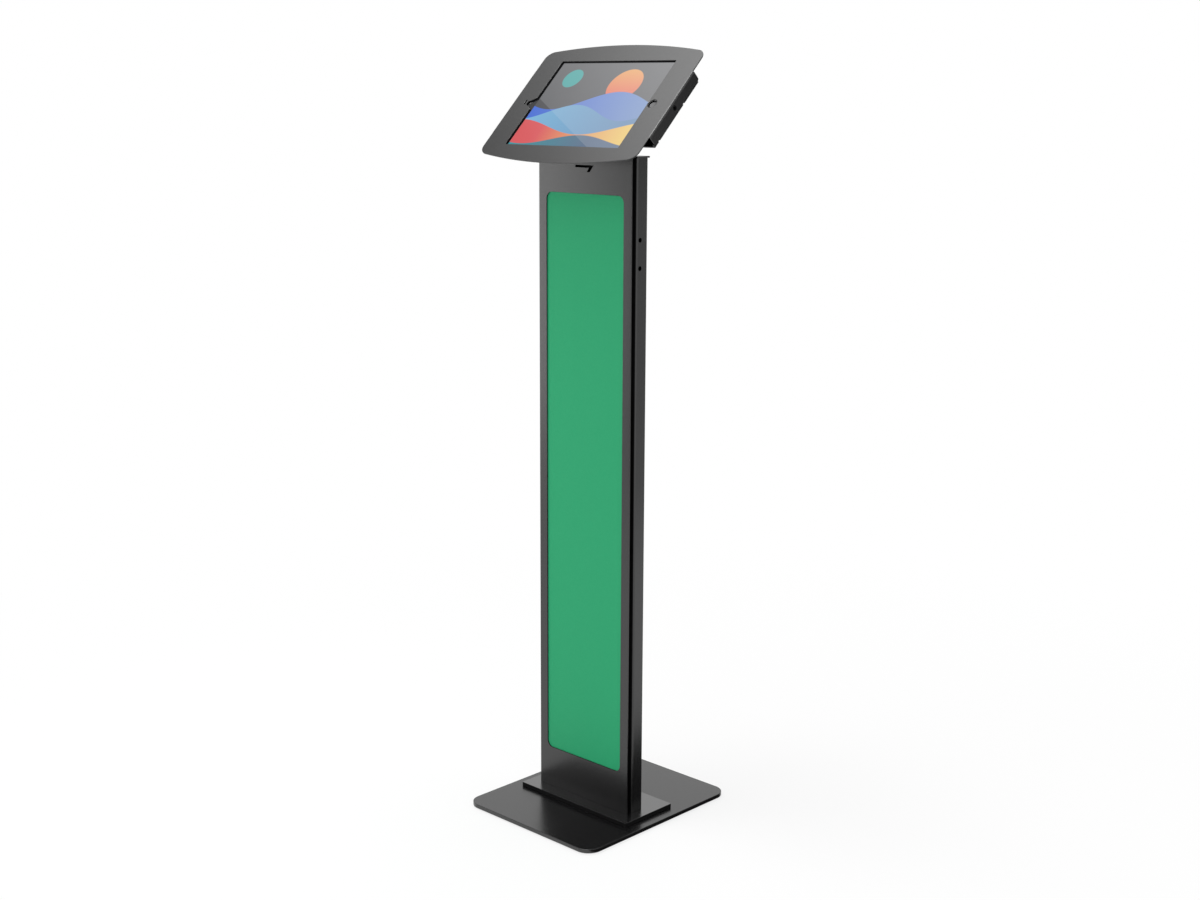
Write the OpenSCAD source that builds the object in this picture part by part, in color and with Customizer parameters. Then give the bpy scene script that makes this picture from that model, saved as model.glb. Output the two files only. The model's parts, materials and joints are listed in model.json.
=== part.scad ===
// Floor-standing tablet kiosk: a steel base and foot, a slim column with a slide-in graphic panel,
// and a locking tablet enclosure held at a slant by a wedge bracket.
// Millimetres. X runs to the viewer's right, the front faces -Y, Z is up.
// The origin is on the floor under the middle of the base.

/* [Base] */
// Width of the base plate, side to side
base_w = 250; // [220:1:280]
// Depth of the base plate, front to back
base_d = 296; // [260:1:330]
// Thickness of the base plate
base_t = 6; // [5:0.5:8]
// Corner radius of the base plate
base_r = 22; // [12:1:30]
// Diameter of a floor pad
pad_d = 24; // [16:1:30]
// Thickness of a floor pad
pad_t = 1.5; // [1:0.1:3]
// Distance from the base's edges to the middle of a floor pad
pad_inset = 26; // [20:1:36]

/* [Foot] */
// How far the foot plate stands out past each side of the column
foot_over = 18; // [12:0.5:25]
// Depth of the foot plate
foot_d = 97; // [80:1:110]
// Thickness of the foot plate
foot_t = 6; // [5:0.5:8]
// Y of the foot plate's middle
foot_y = -5.5; // [-12:0.5:-2]
// Thread diameter of the base bolts
bolt_d = 8; // [6:1:10]
// Distance of the base bolts from the foot plate's sides
bolt_in_x = 31; // [20:0.5:40]
// Distance of the base bolts from the foot plate's front and back
bolt_in_y = 18.5; // [14:0.5:24]

/* [Column] */
// Width of the column
col_w = 176; // [165:1:185]
// Height of the column above the foot plate
col_h = 928; // [900:1:960]
// Y of the column's front face
front_y = -32.4; // [-36:0.1:-29]
// Depth of the rear channel
channel_d = 20.5; // [20.5:0.5:26]
// Sheet thickness of the rear channel and its cover
channel_t = 2; // [1.5:0.1:2.5]
// Outside bend radius of the rear channel
bend_r = 3; // [2.6:0.1:4]
// Width of the channel's inward lips at the back
lip_w = 16; // [12:0.5:20]
// Thickness of the plate that closes the channel's top
top_plate_t = 3; // [2:0.1:4]

/* [Graphic frame] */
// Sheet thickness of the front frame
frame_t = 1.5; // [1.2:0.1:2]
// Open slot between the front frame and the rear channel
slot_gap = 8.75; // [7.5:0.05:9.5]
// Width of the front frame beside the graphic window
window_side = 14.5; // [12:0.5:20]
// Height of the window's lower edge above the foot plate
window_z = 61; // [55:0.5:70]
// Distance of the window's upper edge from the column's top
window_down = 50; // [44:0.5:60]
// Corner radius of the graphic window
window_r = 10; // [5:0.5:15]
// Distance of the rails and the panel from the column's sides
rail_inset = 8; // [6:0.5:10]
// Overlap of the panel behind the window's upper and lower edges
panel_over = 12; // [8:0.5:15]
// Thickness of the printed sheet
sheet_t = 1; // [0.5:0.1:1.5]
// Thread diameter of the frame's welded studs
stud_d = 5; // [4:0.5:6]
// Distance of the frame's studs from the column's sides
stud_in = 28; // [20:0.5:36]
// Width of the catch slot under the enclosure
catch_w = 34.4; // [28:0.1:40]
// Height of the catch slot's leg
catch_h = 9; // [7:0.5:12]
// Height of the catch slot's bar
catch_bar = 3.2; // [2.5:0.1:4]
// Distance of the catch slot from the column's top
catch_down = 11.6; // [10:0.1:14]

/* [Accessory holes] */
// Diameter of the holes in the column's right side
side_hole_d = 6.5; // [5:0.1:8]
// Spacing of those holes
side_hole_pitch = 38; // [30:1:45]
// Distance of the middle between them from the column's top
side_hole_down = 127.5; // [90:0.5:160]
// Distance of the holes from the channel's back edge
side_hole_in = 13.5; // [10:0.1:15]

/* [Cable way] */
// Bore of the cable grommets
cable_d = 10; // [8:0.5:10.5]
// Wall of a grommet inside its plate
grommet_wall = 1.6; // [1.2:0.1:1.8]
// Lip of a grommet beyond its plate
grommet_lip = 1.4; // [1.2:0.1:1.6]
// Height of the cable outlet above the foot plate
outlet_z = 45; // [35:1:80]

/* [Bracket] */
// Sheet thickness of the bracket's cap plate
cap_t = 2.5; // [2:0.1:3]
// Overhang of the cap plate behind the column
cap_over = 4.5; // [3:0.1:6]
// Sheet thickness of the bracket's slanted plate and cheeks
wedge_t = 3; // [2.5:0.1:4]
// Side of the square slanted plate
wedge_w = 114; // [110:1:118]
// Hole spacing of the tablet mounting pattern
vesa_pitch = 100; // [98:1:102]
// Distance between the cheeks' outer faces
cheek_w = 84; // [70:1:88]
// Distance of the cap screws from the column's sides
cap_screw_in = 16; // [12:0.5:22]

/* [Enclosure placing] */
// Slant of the tablet face from the floor
tilt = 45; // [40:1:50]
// Y of the face frame's middle
head_y = -23.1; // [-26:0.1:-20]
// Height of the face frame's middle above the column's top
head_rise = 71.1; // [68:0.1:78]

/* [Face frame] */
// Room for the lock between the tray and the right-hand flange
lock_room = 20.7; // [19:0.1:24]
// How far the face frame stands out past the tablet's long sides, at its middle
face_over = 22.45; // [19:0.05:27]
// Bulge of the face frame's long sides
face_bow = 13.7; // [8:0.1:15]
// Corner radius of the face frame
face_r = 15; // [8:0.5:20]
// Sheet thickness of the face frame
face_t = 1.5; // [1.2:0.1:2]
// Length of the folded side flanges
flange_l = 118; // [114:1:124]
// How far a folded flange stands out past the face frame's short side
flange_out = 2; // [1.8:0.1:2.4]
// Depth of the right-hand flange
flange_d = 14.8; // [14.2:0.1:15.5]
// Radius of the right-hand flange's back corners
flange_r = 2.5; // [1:0.1:4]
// Sideways offset of the tablet from the face frame's middle
screen_dx = -0.5; // [-2:0.1:2]
// Margin of the window past the lit screen's short ends
margin_end = 2.8; // [1:0.1:4]
// Margin of the window past the lit screen's long sides
margin_side = 1.5; // [0.5:0.1:3]
// Depth of the camera notch in the window's left edge
notch_d = 13.6; // [11:0.1:15]
// Height of the camera notch at the window
notch_h = 21; // [18:0.5:26]
// Radius of the camera notch's round end
notch_r = 4.5; // [3:0.1:6]
// How far the camera notch sits below the screen's middle
notch_low = 1.9; // [0:0.1:4]
// Diameter of the home-button opening
home_hole_d = 12.5; // [12:0.1:15]
// Length of the sensor slot
sensor_l = 8.5; // [5:0.5:10]
// Width of the sensor slot
sensor_w = 2.5; // [1.6:0.1:3]
// Distance of the sensor slot's middle from the tablet's edge
sensor_in = 1.3; // [0.5:0.1:2]

/* [Tablet] */
// Width of the tablet
tablet_w = 250.6; // [249:0.1:252]
// Height of the tablet
tablet_h = 174.1; // [172:0.1:175]
// Thickness of the tablet
tablet_t = 7.5; // [7:0.1:8]
// Bezel of the tablet at its short ends
bezel_end = 21.6; // [18:0.1:24]
// Bezel of the tablet along its long sides
bezel_side = 9.35; // [8:0.05:12]
// Corner radius of the tablet
tablet_r = 9; // [6:0.5:11]
// Thickness of the tablet's front glass
glass_t = 1.1; // [0.8:0.1:1.4]
// Diameter of the home button
home_d = 10; // [9:0.1:11]
// Travel of the home button
home_travel = 0.5; // [0.3:0.1:0.6]

/* [Tray and housing] */
// Gap round the tablet in its tray
tray_gap = 0.5; // [0.3:0.1:0.8]
// Sheet thickness of the tray
tray_t = 1.5; // [1.2:0.1:1.8]
// Thickness of the foam behind the tablet
foam_t = 1; // [0.8:0.1:1.5]
// Thickness of the foam gasket under the face frame
gasket_t = 0.5; // [0.4:0.1:0.8]
// Clear depth of the housing behind the tray
housing_gap = 5.5; // [5.2:0.1:6.5]
// Sheet thickness of the rear housing
housing_t = 2; // [1.5:0.1:2.5]
// Gap between the rear housing and the inside of the right-hand flange
housing_inset = 2; // [1:0.1:2.5]

/* [Hinge] */
// Radius of a hinge knuckle
knuckle_r = 2.2; // [2.1:0.05:2.4]
// Radius of the hinge pin
pin_r = 1.2; // [1:0.05:1.3]

/* [Lock] */
// Radius of the lock barrel
barrel_r = 3; // [2.8:0.1:3.3]
// Length of the lock barrel
barrel_l = 9; // [8:0.1:11]
// Radius of the turning plug
plug_r = 2.1; // [1.9:0.1:2.3]
// Distance of the lock's axis behind the face frame's front
lock_depth = 7.5; // [7.5:0.1:8.5]
// Reach of the cam from the lock's axis
cam_reach = 8; // [7:0.1:9]
// Width of the cam
cam_w = 4; // [3.6:0.1:4.4]

/* [Fits] */
// Running clearance on the radius of turning parts
run_fit = 0.05; // [0.02:0.01:0.1]
// Gap between parts that slide or swing past each other
slide_gap = 0.3; // [0.25:0.05:0.4]

/* [Hidden] */
$fn = 96;
cut = 1;
steel_black = [0.10, 0.10, 0.11];
steel_bright = [0.70, 0.70, 0.72];
rubber_black = [0.06, 0.06, 0.06];
foam_grey = [0.20, 0.20, 0.21];

base_top = pad_t + base_t;
foot_top = base_top + foot_t;
col_top = foot_top + col_h;
cap_top = col_top + cap_t;

frame_back = front_y + frame_t;
channel_front = frame_back + slot_gap;
channel_back = channel_front + channel_d;
channel_mid = (channel_front + channel_back) / 2;
lip_back = channel_back - channel_t;
web_back = channel_front + channel_t;

window_w = col_w - 2 * window_side;
window_bottom = foot_top + window_z;
window_top = col_top - window_down;
window_h = window_top - window_bottom;
panel_bottom = window_bottom - panel_over;
panel_top = window_top + panel_over;
rail_w = col_w - 2 * rail_inset;
top_rail_z = panel_top + slide_gap;
top_rail_h = col_top - slide_gap - top_rail_z;
bottom_rail_h = panel_bottom - slide_gap - foot_top;
stud_z = [foot_top + bottom_rail_h / 2, top_rail_z + top_rail_h / 2];
stud_x = col_w / 2 - stud_in;
catch_room = catch_w + 20;
nut_h = 4;
nut_r = stud_d * 0.92;

foot_w = col_w + 2 * foot_over;
bolt_dx = foot_w - 2 * bolt_in_x;
bolt_dy = foot_d - 2 * bolt_in_y;
bolt_head_h = bolt_d * 0.5;
bolt_end = foot_top - 1.2;

cover_w = col_w - 2 * channel_t - 2 * slide_gap;
cover_screw_r = 1.5;
cover_screw_x = col_w / 2 - channel_t - lip_w / 2;
cover_screw_z = [foot_top + 40, foot_top + col_h / 2, col_top - 40];

screen_w = tablet_w - 2 * bezel_end;
screen_h = tablet_h - 2 * bezel_side;
tray_w = tablet_w + 2 * (tray_gap + tray_t);
tray_h = tablet_h + 2 * (tray_gap + tray_t);
tray_right = screen_dx + tray_w / 2;
tray_left = screen_dx - tray_w / 2;

head_z = col_top + head_rise;
face_w = 2 * (tray_right + lock_room + face_t - flange_out);
face_h = tablet_h + 2 * face_over;
flange_u = face_w / 2 + flange_out;
flange_in = flange_u - face_t;
fold_r = face_t + 1;
bow_r = (face_w * face_w / 4 + face_bow * face_bow) / (2 * face_bow);

glass_n = -(face_t + gasket_t + slide_gap);
body_n = glass_n - glass_t;
tablet_n = glass_n - tablet_t;
tray_floor_n = tablet_n - foam_t;
tray_n = tray_floor_n - tray_t;
housing_in = tray_n - housing_gap;
housing_n = housing_in - housing_t;
wedge_n = housing_n - wedge_t;
rim_n = -(face_t + 0.5);

face_window_w = screen_w + 2 * margin_end;
face_window_h = screen_h + 2 * margin_side;
sensor_u = screen_dx - tablet_w / 2 + sensor_in;
home_u = screen_dx + (screen_w + tablet_w) / 4;
housing_right = flange_in - housing_inset;
gasket_back = 1.6;
post_u = 100;
post_v = 40;
post_r = 4;
tray_screw_r = 1.5;
relief_d = 1.8;
relief_l = 3;

hinge_u = -(flange_u - knuckle_r);
hinge_n = housing_in + knuckle_r + slide_gap;
hinge_flange_n = hinge_n + knuckle_r + 0.5;
knuckle_gap = 0.5;
knuckle_l = (flange_l - 4 * knuckle_gap) / 5;

cap_back = channel_back + cap_over;
vesa_r = 2;
vesa_head_r = 3.6;
vesa_head_h = 2.6;
cap_screw_r = 2.5;
cap_head_r = 4.2;
cap_head_h = 2.8;
wedge_hole_r = 14;
grommet_r = cable_d / 2 + grommet_wall;
port_h = 18;

cam_t = 2;
barrel_u = flange_u - barrel_l;
cam_u = barrel_u - 1 - cam_t;
rim_r = barrel_r + 0.6;
rim_t = 0.7;
plug_sink = 1.5;
tail_r = plug_r * 0.66;
hub_r = cam_w / 2 + 0.3;
lock_nut_t = 3;
lock_nut_flat = 2 * lock_depth - 2 * fold_r;
catch_v = hub_r + 0.5;
catch_t = 1.6;
catch_lip_n = -lock_depth + cam_w / 2 + 0.5;
catch_out = cam_reach + 2;

// Which piece to draw

// Flat shapes

module rounded_rect(w, d, r) {
    square([w - 2 * r, d], center = true);
    square([w, d - 2 * r], center = true);
    for (sx = [-1, 1], sy = [-1, 1])
        translate([sx * (w / 2 - r), sy * (d / 2 - r)])
            circle(r);
}

// Outline of the face frame: straight short sides, bowed long sides, rounded corners
module bowed_outline() {
    corner_u = face_w / 2 - face_r;
    arc_v = face_h / 2 - bow_r;
    corner_v = arc_v + sqrt((bow_r - face_r) * (bow_r - face_r) - corner_u * corner_u);
    tangent_u = corner_u * bow_r / (bow_r - face_r);
    intersection() {
        translate([0, arc_v])
            circle(bow_r, $fn = 720);
        translate([0, -arc_v])
            circle(bow_r, $fn = 720);
        square([2 * tangent_u, 2 * face_h], center = true);
    }
    square([face_w, 2 * corner_v], center = true);
    for (su = [-1, 1], sv = [-1, 1])
        translate([su * corner_u, sv * corner_v])
            circle(face_r);
}

// Notch that uncovers the tablet's camera at the window's left edge
module camera_notch(grow) {
    end_u = -notch_d + notch_r;
    translate([screen_dx - face_window_w / 2, -notch_low]) {
        polygon([
            [cut, notch_h / 2 + grow],
            [0, notch_h / 2 + grow],
            [end_u, notch_r + grow],
            [end_u, -notch_r - grow],
            [0, -notch_h / 2 - grow],
            [cut, -notch_h / 2 - grow]
        ]);
        translate([end_u, 0])
            circle(notch_r + grow);
    }
}

module channel_outline() {
    inner_r = bend_r - channel_t;
    inner_w = col_w - 2 * channel_t;
    difference() {
        union() {
            translate([-col_w / 2, channel_front + bend_r])
                square([col_w, channel_d - bend_r]);
            translate([-col_w / 2 + bend_r, channel_front])
                square([col_w - 2 * bend_r, channel_d]);
            for (s = [-1, 1])
                translate([s * (col_w / 2 - bend_r), channel_front + bend_r])
                    circle(bend_r);
        }
        translate([-inner_w / 2, web_back + inner_r])
            square([inner_w, channel_d]);
        translate([-inner_w / 2 + inner_r, web_back])
            square([inner_w - 2 * inner_r, channel_d]);
        for (s = [-1, 1])
            translate([s * (inner_w / 2 - inner_r), web_back + inner_r])
                circle(inner_r);
    }
    for (s = [-1, 1])
        translate([s * (col_w - channel_t - lip_w) / 2, lip_back - channel_t / 2])
            square([channel_t + lip_w, channel_t], center = true);
}

// Slot for the enclosure's catch: a bar with a slanted leg at its right-hand end
module catch_outline() {
    leg_lean = catch_h * 0.8;
    leg_w = catch_h * 0.62;
    leg_u = catch_w / 2 - leg_lean;
    polygon([
        [-catch_w / 2, 0],
        [catch_w / 2, 0],
        [leg_u, -catch_h],
        [leg_u - leg_w, -catch_h],
        [catch_w / 2 - leg_lean * catch_bar / catch_h - leg_w, -catch_bar],
        [-catch_w / 2, -catch_bar]
    ]);
}

// Section of a folded side flange, drawn across and front to back
module fold_section(depth) {
    fold_u = flange_u - fold_r;
    translate([fold_u - fold_r, -face_t])
        square([fold_r, face_t]);
    intersection() {
        difference() {
            translate([fold_u, -fold_r])
                circle(fold_r);
            translate([fold_u, -fold_r])
                circle(fold_r - face_t);
        }
        translate([fold_u, -fold_r])
            square([fold_r, fold_r]);
    }
    translate([flange_in, -depth])
        square([face_t, depth - fold_r]);
}

// Placing helpers

module on_head() {
    translate([0, head_y, head_z])
        rotate([tilt, 0, 0])
            children();
}

// Height of a plane parallel to the tablet face, n behind its front, above the point y
function slant_z(y, n) = head_z + (y - head_y + n * sin(tilt)) * tan(tilt) + n * cos(tilt);
function slant_point(v, n) = [
    head_y + v * cos(tilt) - n * sin(tilt),
    head_z + v * sin(tilt) + n * cos(tilt)
];

module at_corners(dx, dy) {
    for (sx = [-1, 1], sy = [-1, 1])
        translate([sx * dx / 2, sy * dy / 2, 0])
            children();
}

// A round bar along X of the enclosure
module bar_u(u0, u1, r) {
    translate([u0, 0, 0])
        rotate([0, 90, 0])
            cylinder(r = r, h = u1 - u0);
}

// Grommet round a hole, standing on z = 0 with its plate of thickness t above
module grommet(t) {
    rotate_extrude()
        difference() {
            translate([cable_d / 2, -grommet_lip])
                square([grommet_wall + grommet_lip, t + 2 * grommet_lip]);
            translate([grommet_r, 0])
                square([grommet_lip + cut, t]);
        }
}

module at_bolts() {
    translate([0, foot_y, pad_t])
        at_corners(bolt_dx, bolt_dy)
            children();
}

module bolt_shape(grow) {
    cylinder(r1 = bolt_d + grow, r2 = bolt_d / 2 + grow, h = bolt_head_h);
    cylinder(r = bolt_d / 2 + grow, h = bolt_end - pad_t + grow);
}

module at_cover_screws() {
    for (s = [-1, 1], z = cover_screw_z)
        translate([s * cover_screw_x, channel_back, z])
            rotate([90, 0, 0])
                children();
}

module at_studs() {
    for (s = [-1, 1], z = stud_z)
        translate([s * stud_x, frame_back, z])
            rotate([-90, 0, 0])
                children();
}

module at_cap_screws() {
    for (s = [-1, 1])
        translate([s * (col_w / 2 - cap_screw_in), channel_mid, cap_top])
            children();
}

module at_vesa() {
    translate([0, 0, wedge_n])
        at_corners(vesa_pitch, vesa_pitch)
            children();
}

module at_posts() {
    translate([0, 0, tray_n])
        at_corners(2 * post_u, 2 * post_v)
            children();
}

module at_lock() {
    translate([0, 0, -lock_depth])
        children();
}

module knuckles(first) {
    for (i = [first : 2 : 4])
        translate([hinge_u, -flange_l / 2 + i * (knuckle_l + knuckle_gap), hinge_n])
            rotate([-90, 0, 0])
                children();
}

// Base

module base_plate()
    color(steel_black)
        difference() {
            translate([0, 0, pad_t])
                linear_extrude(base_t)
                    rounded_rect(base_w, base_d, base_r);
            at_bolts()
                bolt_shape(run_fit);
        }

module floor_pads()
    color(rubber_black)
        at_corners(base_w - 2 * pad_inset, base_d - 2 * pad_inset)
            cylinder(d = pad_d, h = pad_t);

module base_bolts()
    color(steel_bright)
        at_bolts()
            bolt_shape(0);

module foot_plate()
    color(steel_black)
        difference() {
            translate([0, foot_y, base_top])
                linear_extrude(foot_t)
                    rounded_rect(foot_w, foot_d, 1);
            at_bolts()
                bolt_shape(run_fit);
        }

// Column

module rear_channel()
    color(steel_black)
        difference() {
            union() {
                translate([0, 0, foot_top])
                    linear_extrude(col_h)
                        channel_outline();
                translate([-col_w / 2 + channel_t / 2, web_back - channel_t / 2, col_top - top_plate_t])
                    cube([col_w - channel_t, lip_back - web_back + channel_t / 2, top_plate_t]);
            }
            for (s = [-1, 1])
                translate([0, channel_back - side_hole_in, col_top - side_hole_down + s * side_hole_pitch / 2])
                    bar_u(col_w / 2 - channel_t - cut, col_w / 2 + cut, side_hole_d / 2);
            at_studs()
                cylinder(r = stud_d / 2 + slide_gap, h = slot_gap + channel_t + cut);
            at_cover_screws()
                cylinder(r = cover_screw_r + run_fit, h = 2 * channel_t + cut);
            at_cap_screws()
                translate([0, 0, -cap_t - top_plate_t - cut])
                    cylinder(r = cap_screw_r + run_fit, h = top_plate_t + 2 * cut);
            translate([0, channel_mid, col_top - top_plate_t - cut])
                cylinder(r = grommet_r + run_fit, h = top_plate_t + 2 * cut);
        }

module rear_cover()
    color(steel_black)
        difference() {
            translate([-cover_w / 2, lip_back, foot_top + slide_gap])
                cube([cover_w, channel_t, col_h - 2 * slide_gap]);
            at_cover_screws()
                cylinder(r = cover_screw_r + run_fit, h = channel_t + cut);
            translate([0, channel_back + cut, foot_top + outlet_z])
                rotate([90, 0, 0])
                    cylinder(r = grommet_r + run_fit, h = channel_t + 2 * cut);
        }

module cover_screws()
    color(steel_bright)
        at_cover_screws() {
            translate([0, 0, -cover_screw_r])
                cylinder(r1 = cover_screw_r * 2, r2 = cover_screw_r * 2.4, h = cover_screw_r);
            cylinder(r = cover_screw_r, h = 2 * channel_t + 2 * cut);
        }

module outlet_grommet()
    color(rubber_black)
        translate([0, channel_back, foot_top + outlet_z])
            rotate([90, 0, 0])
                grommet(channel_t);

module front_frame()
    color(steel_black) {
        difference() {
            translate([-col_w / 2, front_y, foot_top])
                cube([col_w, frame_t, col_h]);
            translate([0, frame_back + cut, window_bottom + window_h / 2])
                rotate([90, 0, 0])
                    linear_extrude(frame_t + 2 * cut)
                        rounded_rect(window_w, window_h, window_r);
            translate([0, frame_back + cut, col_top - catch_down])
                rotate([90, 0, 0])
                    linear_extrude(frame_t + 2 * cut)
                        catch_outline();
        }
        at_studs()
            translate([0, 0, -frame_t / 2])
                cylinder(d = stud_d, h = frame_t / 2 + slot_gap + channel_t + nut_h + cut);
    }

module frame_nuts()
    color(steel_bright)
        at_studs()
            translate([0, 0, slot_gap + channel_t])
                difference() {
                    cylinder(r = nut_r, h = nut_h, $fn = 6);
                    translate([0, 0, -cut])
                        cylinder(r = stud_d / 2 + run_fit, h = nut_h + 2 * cut);
                }

module rail(z, h)
    difference() {
        translate([-rail_w / 2, frame_back, z])
            cube([rail_w, slot_gap, h]);
        at_studs()
            cylinder(r = stud_d / 2 + slide_gap, h = slot_gap + cut);
    }

module top_rail()
    color(steel_black)
        difference() {
            rail(top_rail_z, top_rail_h);
            translate([-catch_room / 2, frame_back - cut, col_top - catch_down - catch_h - 2])
                cube([catch_room, slot_gap + 2 * cut, catch_down + catch_h + 2]);
        }

module bottom_rail()
    color(steel_black)
        rail(foot_top, bottom_rail_h);

module graphic_sheet()
    color([0.20, 0.62, 0.42])
        translate([-rail_w / 2, frame_back + slide_gap, panel_bottom])
            cube([rail_w, sheet_t, panel_top - panel_bottom]);

module backing_board()
    color([0.13, 0.13, 0.14])
        translate([-rail_w / 2, frame_back + slide_gap + sheet_t, panel_bottom])
            cube([rail_w, slot_gap - 2 * slide_gap - sheet_t, panel_top - panel_bottom]);

// Bracket

module cheek()
    rotate([90, 0, 90])
        linear_extrude(wedge_t)
            polygon([
                [channel_front + 2, col_top + cap_t / 2],
                [cap_back - 2, col_top + cap_t / 2],
                [cap_back - 2, slant_z(cap_back - 2, wedge_n + wedge_t / 2)],
                slant_point(-wedge_w / 2 + 8, wedge_n + wedge_t / 2)
            ]);

module head_bracket()
    color(steel_black)
        difference() {
            union() {
                translate([-col_w / 2, channel_front, col_top])
                    cube([col_w, cap_back - channel_front, cap_t]);
                for (x = [-cheek_w / 2, cheek_w / 2 - wedge_t])
                    translate([x, 0, 0])
                        cheek();
                on_head()
                    translate([0, 0, wedge_n])
                        linear_extrude(wedge_t)
                            rounded_rect(wedge_w, wedge_w, 6);
            }
            on_head()
                at_vesa()
                    translate([0, 0, -cut])
                        cylinder(r = vesa_r + slide_gap, h = wedge_t + 2 * cut);
            on_head()
                translate([0, 0, wedge_n - cut])
                    cylinder(r = wedge_hole_r, h = wedge_t + 2 * cut);
            at_cap_screws()
                translate([0, 0, -cap_t - cut])
                    cylinder(r = cap_screw_r + slide_gap, h = cap_t + 2 * cut);
            translate([0, channel_mid, col_top - cut])
                cylinder(r = grommet_r + run_fit, h = cap_t + 2 * cut);
        }

module cap_screws()
    color(steel_bright)
        at_cap_screws() {
            cylinder(r = cap_head_r, h = cap_head_h);
            translate([0, 0, -cap_t - top_plate_t - cut])
                cylinder(r = cap_screw_r, h = cap_t + top_plate_t + 2 * cut);
        }

module vesa_screws()
    color(steel_bright)
        on_head()
            at_vesa() {
                translate([0, 0, -vesa_head_h])
                    cylinder(r = vesa_head_r, h = vesa_head_h);
                translate([0, 0, -cut])
                    cylinder(r = vesa_r, h = wedge_t + housing_t + 2 * cut);
            }

module cable_grommet()
    color(rubber_black)
        translate([0, channel_mid, col_top - top_plate_t])
            grommet(cap_t + top_plate_t);

// Enclosure

// Upright long wall of the housing, up to the tray's back
module housing_wall(s)
    translate([tray_left, s * (flange_l - housing_t) / 2 - housing_t / 2, housing_n])
        cube([tray_w, housing_t, tray_n - housing_n]);

module rear_housing()
    color(steel_black)
        on_head()
            difference() {
                union() {
                    translate([-flange_u, -flange_l / 2, housing_n])
                        cube([flange_u + housing_right, flange_l, housing_t]);
                    for (s = [-1, 1])
                        housing_wall(s);
                    translate([housing_right - housing_t, -flange_l / 2, housing_n])
                        cube([housing_t, flange_l, -flange_d - slide_gap - housing_n]);
                    knuckles(0) {
                        cylinder(r = knuckle_r, h = knuckle_l);
                    }
                    for (i = [0 : 2 : 4])
                        translate([-flange_u, -flange_l / 2 + i * (knuckle_l + knuckle_gap), housing_n])
                            cube([face_t, knuckle_l, hinge_n - housing_n]);
                    at_posts()
                        translate([0, 0, -housing_gap - housing_t / 2])
                            cylinder(r = post_r, h = housing_gap + housing_t / 2);
                }
                translate([hinge_u, -flange_l / 2 - cut, hinge_n])
                    rotate([-90, 0, 0])
                        cylinder(r = pin_r + run_fit, h = flange_l + 2 * cut);
                at_vesa()
                    translate([0, 0, wedge_t - cut])
                        cylinder(r = vesa_r + run_fit, h = housing_t + 2 * cut);
                at_posts()
                    translate([0, 0, -housing_gap])
                        cylinder(r = tray_screw_r + run_fit, h = housing_gap + cut);
                translate([0, 0, housing_n - cut])
                    cylinder(r = wedge_hole_r, h = housing_t + 2 * cut);
                for (v = [-flange_l * 0.41, flange_l * 0.15])
                    translate([housing_right - relief_d, v, housing_n - cut])
                        cube([relief_d + cut, relief_l, relief_d + cut]);
            }

module hinge_pin()
    color(steel_bright)
        on_head()
            translate([hinge_u, -flange_l / 2 + cut, hinge_n])
                rotate([-90, 0, 0])
                    cylinder(r = pin_r, h = flange_l - 2 * cut);

module tray_screw_shape(grow) {
    translate([0, 0, tray_t - tray_screw_r])
        cylinder(r1 = tray_screw_r + grow, r2 = 2 * tray_screw_r + grow, h = tray_screw_r);
    translate([0, 0, -housing_gap + cut])
        cylinder(r = tray_screw_r + grow, h = housing_gap + tray_t - cut);
}

module tablet_tray()
    color(steel_black)
        on_head()
            difference() {
                translate([screen_dx, 0, tray_n])
                    linear_extrude(rim_n - tray_n)
                        rounded_rect(tray_w, tray_h, tablet_r + tray_gap + tray_t);
                translate([screen_dx, 0, tray_floor_n])
                    linear_extrude(tablet_t * 2 + foam_t)
                        rounded_rect(tray_w - 2 * tray_t, tray_h - 2 * tray_t, tablet_r + tray_gap);
                translate([tray_right - tray_t - cut, -port_h / 2, tray_floor_n])
                    cube([tray_t + 2 * cut, port_h, tablet_t * 2 + foam_t]);
                at_posts()
                    tray_screw_shape(run_fit);
            }

module tray_screws()
    color(steel_bright)
        on_head()
            at_posts()
                tray_screw_shape(0);

module foam_pads()
    color(foam_grey)
        on_head()
            translate([screen_dx, 0, tray_floor_n])
                at_corners(tablet_w * 0.62, tablet_h * 0.68)
                    linear_extrude(foam_t)
                        rounded_rect(46, 20, 3);

// Tablet

module tablet_body()
    color([0.62, 0.63, 0.65])
        on_head()
            difference() {
                translate([screen_dx, 0, tablet_n])
                    linear_extrude(tablet_t - glass_t)
                        rounded_rect(tablet_w, tablet_h, tablet_r);
                translate([home_u, 0, body_n - 2 * home_travel - glass_t])
                    cylinder(d = home_d + 2 * slide_gap, h = 2 * home_travel + glass_t + cut);
            }

module tablet_glass()
    color([0.03, 0.03, 0.035])
        on_head()
            difference() {
                translate([screen_dx, 0, body_n])
                    linear_extrude(glass_t)
                        rounded_rect(tablet_w - 1.2, tablet_h - 1.2, tablet_r - 0.6);
                translate([home_u, 0, body_n - cut])
                    cylinder(d = home_d + 2 * slide_gap, h = glass_t + 2 * cut);
            }

module home_button()
    color([0.05, 0.05, 0.055])
        on_head()
            translate([home_u, 0, body_n - glass_t])
                cylinder(d = home_d, h = 2 * glass_t - 0.1);

// Face

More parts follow.
